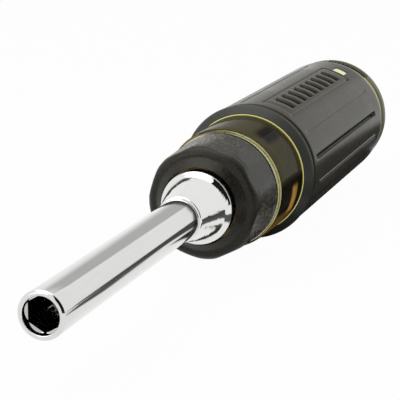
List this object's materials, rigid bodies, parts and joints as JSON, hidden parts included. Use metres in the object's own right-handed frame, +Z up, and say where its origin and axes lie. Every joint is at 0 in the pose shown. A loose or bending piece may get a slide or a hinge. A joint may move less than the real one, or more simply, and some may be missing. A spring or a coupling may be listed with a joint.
{
  "type": "ratcheting multi-bit screwdriver",
  "caption": "Ratcheting screwdriver: shank with hexagon socket, chromed nose cone, octagonal selector collar, clear core, rubber grip and a bit magazine that slides out at the back.",
  "frame": {"origin": "centre of the shank's front face, at the mouth of the bit socket, with the tool lying on its side", "axes": "+X along the shank axis from the bit mouth towards the end cap, +Z up, +Y to the right seen from the end cap"},
  "size_m": [0.2105, 0.0342, 0.0342],
  "materials": {
    "shank_steel": "polished",
    "cone_chrome": "polished",
    "tool_steel": "ground",
    "collar_plastic": "sand textured",
    "housing_metal": "satin",
    "bush_metal": "satin",
    "smoky_plastic": "clear and smoky",
    "cap_plastic": "clear and grey",
    "grip_rubber": "matte",
    "seal_rubber": "smooth",
    "carrier_plastic": "moulded"
  },
  "bodies": {
    "handle": {"core_body": "smoky_plastic", "grip_sleeve": "grip_rubber", "spacer_ring": "tool_steel", "ratchet_housing": "housing_metal", "housing_cover": "housing_metal", "front_bush": "bush_metal", "rear_bush": "bush_metal", "pawl_pin_a": "tool_steel", "pawl_pin_b": "tool_steel", "pawl_spring": "bush_metal", "detent_ball": "tool_steel", "detent_spring": "tool_steel"},
    "spindle": {"shank_tube": "shank_steel", "nose_cone": "cone_chrome", "socket_magnet": "tool_steel", "ratchet_gear": "tool_steel", "thrust_washer": "tool_steel", "retaining_ring": "tool_steel"},
    "selector": {"selector_collar": "collar_plastic", "selector_cam": "tool_steel"},
    "pawl_left": {"pawl_a": "tool_steel"},
    "pawl_right": {"pawl_b": "tool_steel"},
    "magazine": {"bit_carrier": "carrier_plastic", "end_cap": "cap_plastic", "cap_seal": "seal_rubber", "bit_1": "tool_steel", "bit_2": "tool_steel", "bit_3": "tool_steel", "bit_4": "tool_steel", "bit_5": "tool_steel", "bit_6": "tool_steel", "bit_7": "tool_steel"}
  },
  "joints": [
    {"name": "shank_spin", "type": "hinge", "parent": "handle", "child": "spindle", "pos_m": [0.09, 0, 0], "axis": [1, 0, 0], "continuous": true},
    {"name": "selector_turn", "type": "hinge", "parent": "handle", "child": "selector", "pos_m": [0.0995, 0, 0], "axis": [1, 0, 0], "range_deg": [-20, 20]},
    {"name": "pawl_left_turn", "type": "hinge", "parent": "handle", "child": "pawl_left", "pos_m": [0.095, -0.0047, 0.00647], "axis": [1, 0, 0], "range_deg": [-9, 9]},
    {"name": "pawl_right_turn", "type": "hinge", "parent": "handle", "child": "pawl_right", "pos_m": [0.095, 0.0047, 0.00647], "axis": [1, 0, 0], "range_deg": [-9, 9]},
    {"name": "magazine_slide", "type": "slide", "parent": "handle", "child": "magazine", "axis": [1, 0, 0], "range_m": [0, 0.0645]}
  ],
  "couplings": [
    {"joint": "pawl_left_turn", "follows": "selector_turn", "ratio": 0.45},
    {"joint": "pawl_right_turn", "follows": "selector_turn", "ratio": 0.45}
  ]
}
